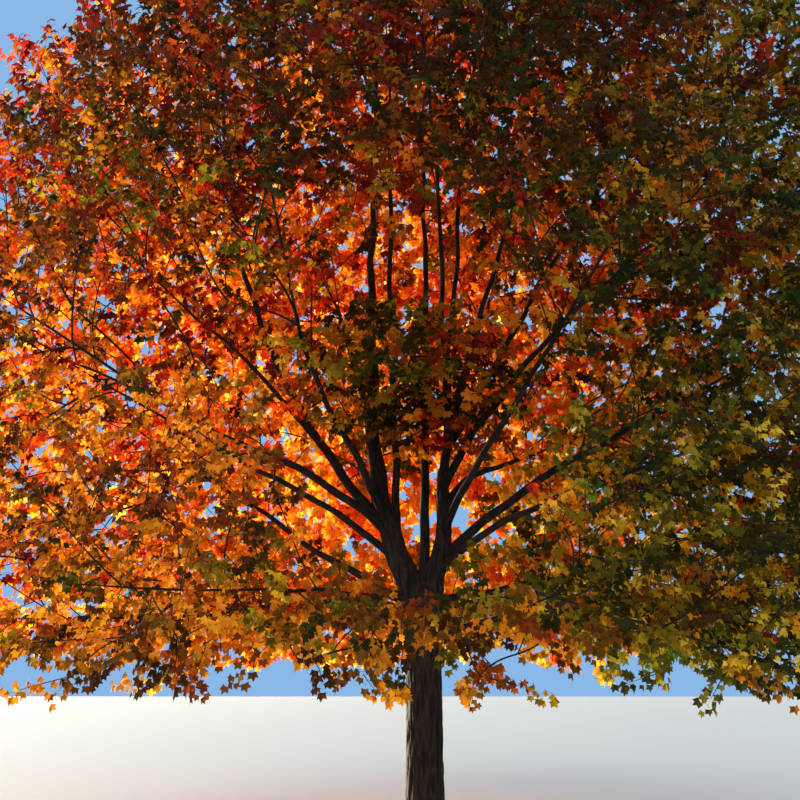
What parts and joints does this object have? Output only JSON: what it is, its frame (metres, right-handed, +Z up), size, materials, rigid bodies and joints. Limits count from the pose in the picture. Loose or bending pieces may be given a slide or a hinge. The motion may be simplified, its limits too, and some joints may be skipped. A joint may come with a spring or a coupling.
{
  "type": "red maple tree",
  "caption": "Broad autumn maple with a low forked trunk, tapering boughs on every side and leafy masses from crimson and orange to olive green.",
  "frame": {"origin": "centre of the trunk's flat cut at ground level", "axes": "+Z up along the trunk, -Y the side that is seen in the picture, +X to that view's right"},
  "size_m": [11.1847, 10.7153, 13.1671],
  "materials": {
    "bark": "rough furrowed dark grey-brown bark",
    "leaf_crimson": "dry satin autumn leaf, dark red",
    "leaf_red": "dry satin autumn leaf, bright red",
    "leaf_orange": "dry satin autumn leaf, glowing orange",
    "leaf_amber": "dry satin autumn leaf, amber",
    "leaf_yellow": "dry satin autumn leaf, gold",
    "leaf_bronze": "dry satin autumn leaf, bronze brown",
    "leaf_olive": "satin leaf turning from green, olive",
    "leaf_green": "satin leaf still green"
  },
  "bodies": {
    "root": {"trunk": "bark", "leader_left": "bark", "leader_right": "bark", "stem_middle": "bark", "stem_second": "bark", "bough_left_high": "bark", "bough_left_outer": "bark", "bough_left_long": "bark", "bough_left_mid": "bark", "bough_left_back": "bark", "bough_left_low": "bark", "bough_front_left": "bark", "bough_front_left_low": "bark", "bough_front_right_low": "bark", "bough_front_right": "bark", "bough_front_high": "bark", "bough_right_main": "bark", "bough_right_front": "bark", "bough_right_back": "bark", "bough_right_low": "bark", "bough_right_upper": "bark", "bough_right_inner": "bark", "bough_right_high": "bark", "bough_back_right_low": "bark", "bough_back_low": "bark", "bough_back_left_low": "bark", "bough_back_right": "bark", "bough_back_left": "bark", "bough_back_right_high": "bark", "bough_back_left_high": "bark", "foliage_top_left": "leaf_red", "foliage_top_right": "leaf_orange", "foliage_middle": "leaf_red", "foliage_second": "leaf_bronze", "foliage_left_high": "leaf_red", "foliage_left_outer": "leaf_crimson", "foliage_left_long": "leaf_orange", "foliage_left_mid": "leaf_amber", "foliage_left_back": "leaf_orange", "foliage_left_low": "leaf_amber", "foliage_front_left": "leaf_olive", "foliage_front_left_low": "leaf_amber", "foliage_front_right_low": "leaf_amber", "foliage_front_right": "leaf_olive", "foliage_front_high": "leaf_bronze", "foliage_right_main": "leaf_olive", "foliage_right_front": "leaf_green", "foliage_right_back": "leaf_green", "foliage_right_low": "leaf_olive", "foliage_right_upper": "leaf_yellow", "foliage_right_inner": "leaf_bronze", "foliage_right_high": "leaf_olive", "foliage_back_right_low": "leaf_green", "foliage_back_low": "leaf_yellow", "foliage_back_left_low": "leaf_amber", "foliage_back_right": "leaf_olive", "foliage_back_left": "leaf_orange", "foliage_back_right_high": "leaf_yellow", "foliage_back_left_high": "leaf_red", "foliage_inner": "leaf_bronze"}
  },
  "joints": []
}
